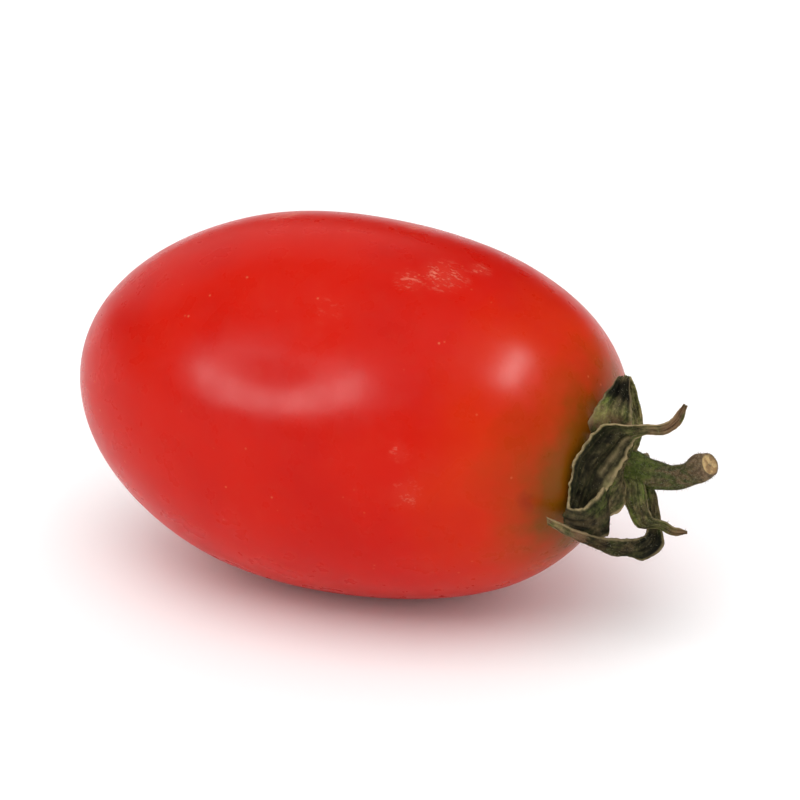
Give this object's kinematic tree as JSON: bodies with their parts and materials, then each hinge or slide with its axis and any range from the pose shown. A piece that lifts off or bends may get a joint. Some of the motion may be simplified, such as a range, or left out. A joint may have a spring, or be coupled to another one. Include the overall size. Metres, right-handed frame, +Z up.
{
  "type": "plum tomato",
  "caption": "Small plum tomato as picked, lying on its side: an egg-shaped red fruit with a curled, dried calyx and a short bent stem stub.",
  "frame": {"origin": "the middle of the flat spot that the fruit rests on, under the fruit's widest part", "axes": "+X along the fruit towards its stem end, +Z up, away from the flat spot"},
  "size_m": [0.0507, 0.0284, 0.0282],
  "materials": {
    "skin": "smooth, slightly waxy ripe tomato skin with a soft sheen, orange at the shoulder and olive green close to the calyx",
    "sepal": "dry, dull, olive-brown dried leaf with paler rims",
    "stem": "dull green-brown dried stalk with a pale tan scar at its end"
  },
  "bodies": {
    "root": {"fruit": "skin", "calyx": "sepal", "stem": "stem"}
  },
  "joints": []
}
